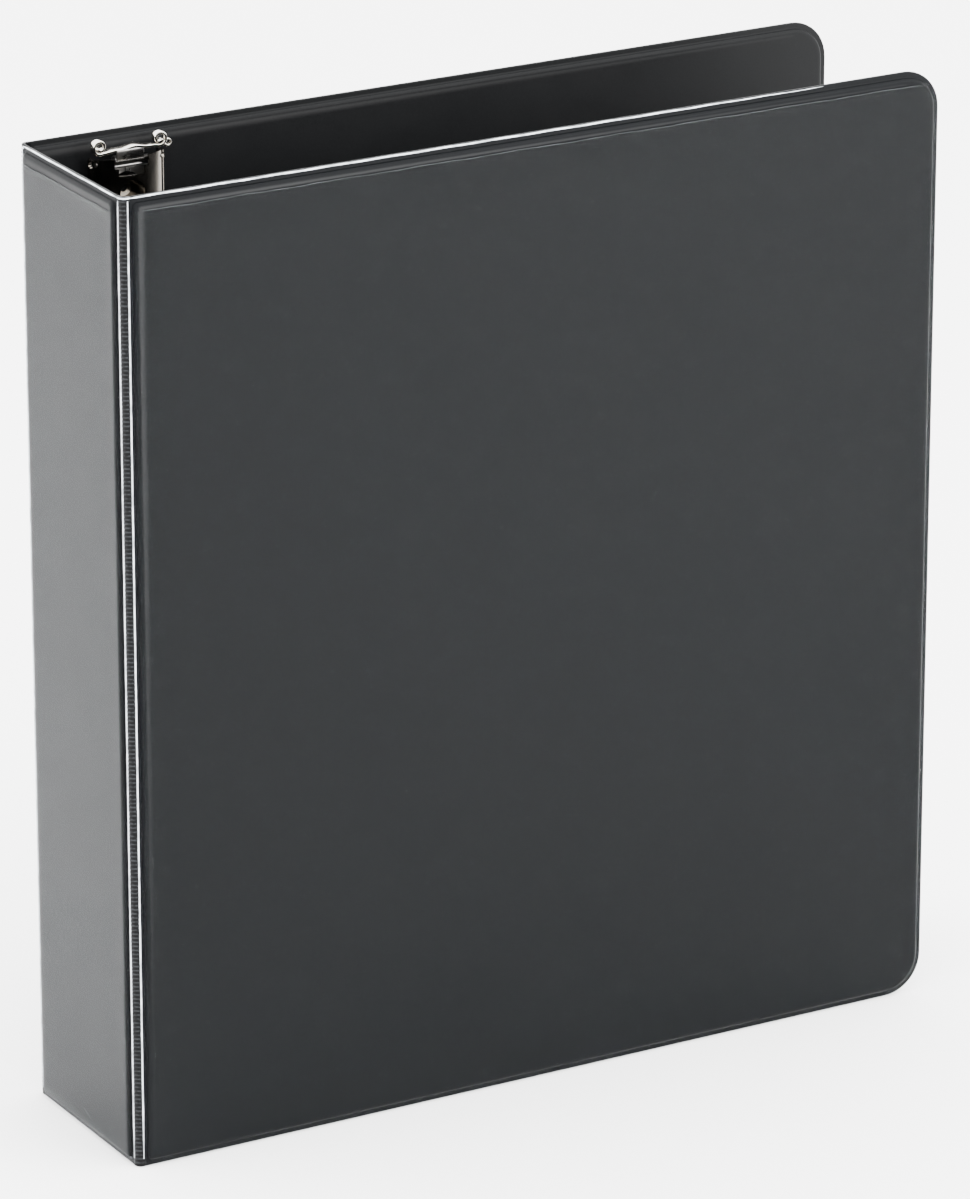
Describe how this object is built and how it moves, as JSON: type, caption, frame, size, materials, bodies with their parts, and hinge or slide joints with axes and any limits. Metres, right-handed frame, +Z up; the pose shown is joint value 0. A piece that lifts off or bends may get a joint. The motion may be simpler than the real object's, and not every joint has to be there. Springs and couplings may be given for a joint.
{
  "type": "ring binder",
  "caption": "Black vinyl ring binder with clear overlays, stiff board covers on flexible hinges, and a lever-operated D-ring mechanism riveted to the back cover.",
  "frame": {"origin": "middle of the bottom edge of the closed binder, on the surface it stands on", "axes": "+Z up along the spine, +X from spine to fore-edge, +Y from front cover to back cover"},
  "size_m": [0.27, 0.066, 0.292],
  "materials": {
    "black_vinyl": "fine-grained soft vinyl, low sheen",
    "clear_film": "clear flexible film, glossy",
    "pocket_vinyl": "thin smooth vinyl",
    "grey_board": "plain chipboard",
    "nickel_plate": "bright nickel plate",
    "rail_steel": "plain nickel-washed steel",
    "ring_wire": "bright nickel plate on round wire"
  },
  "bodies": {
    "back_cover": {"back_board": "grey_board", "back_outer_skin": "black_vinyl", "back_inner_liner": "black_vinyl", "back_clear_overlay": "clear_film", "back_inner_pocket": "pocket_vinyl", "back_hinge_web": "black_vinyl", "ring_housing": "nickel_plate", "lever_pin_top": "rail_steel", "lever_pin_bottom": "rail_steel", "rivet_1": "nickel_plate", "rivet_2": "nickel_plate", "rivet_3": "nickel_plate", "rivet_4": "nickel_plate"},
    "spine": {"spine_board": "grey_board", "spine_outer_skin": "black_vinyl", "spine_inner_liner": "black_vinyl", "spine_clear_overlay": "clear_film"},
    "front_cover": {"front_board": "grey_board", "front_outer_skin": "black_vinyl", "front_inner_liner": "black_vinyl", "front_clear_overlay": "clear_film", "front_inner_pocket": "pocket_vinyl", "front_hinge_web": "black_vinyl"},
    "left_rail": {"hinge_rail_left": "rail_steel", "ring_left_bottom": "ring_wire", "ring_left_middle": "ring_wire", "ring_left_top": "ring_wire"},
    "right_rail": {"hinge_rail_right": "rail_steel", "ring_right_bottom": "ring_wire", "ring_right_middle": "ring_wire", "ring_right_top": "ring_wire"},
    "top_lever": {"lever_top": "nickel_plate"},
    "bottom_lever": {"lever_bottom": "nickel_plate"}
  },
  "joints": [
    {"name": "back_hinge", "type": "hinge", "parent": "back_cover", "child": "spine", "pos_m": [-0.13295, 0.03095, 0.146], "axis": [0, 0, -1], "range_deg": [0, 180], "deforming": ["back_hinge_web"]},
    {"name": "front_hinge", "type": "hinge", "parent": "spine", "child": "front_cover", "pos_m": [-0.13295, -0.03095, 0.146], "axis": [0, 0, -1], "range_deg": [-9, 180], "deforming": ["front_hinge_web"]},
    {"name": "left_rail_hinge", "type": "hinge", "parent": "back_cover", "child": "left_rail", "pos_m": [-0.1129, 0.02615, 0.146], "axis": [0, 0, -1], "range_deg": [0, 11]},
    {"name": "right_rail_hinge", "type": "hinge", "parent": "back_cover", "child": "right_rail", "pos_m": [-0.0921, 0.02615, 0.146], "axis": [0, 0, 1], "range_deg": [0, 11]},
    {"name": "top_lever_hinge", "type": "hinge", "parent": "back_cover", "child": "top_lever", "pos_m": [-0.1025, 0.02515, 0.284], "axis": [-1, 0, 0], "range_deg": [0, 20]},
    {"name": "bottom_lever_hinge", "type": "hinge", "parent": "back_cover", "child": "bottom_lever", "pos_m": [-0.1025, 0.02515, 0.008], "axis": [1, 0, 0], "range_deg": [0, 20]}
  ],
  "couplings": [
    {"joint": "right_rail_hinge", "follows": "left_rail_hinge", "ratio": 1},
    {"joint": "top_lever_hinge", "follows": "left_rail_hinge", "ratio": 1.8182},
    {"joint": "bottom_lever_hinge", "follows": "left_rail_hinge", "ratio": 1.8182}
  ]
}
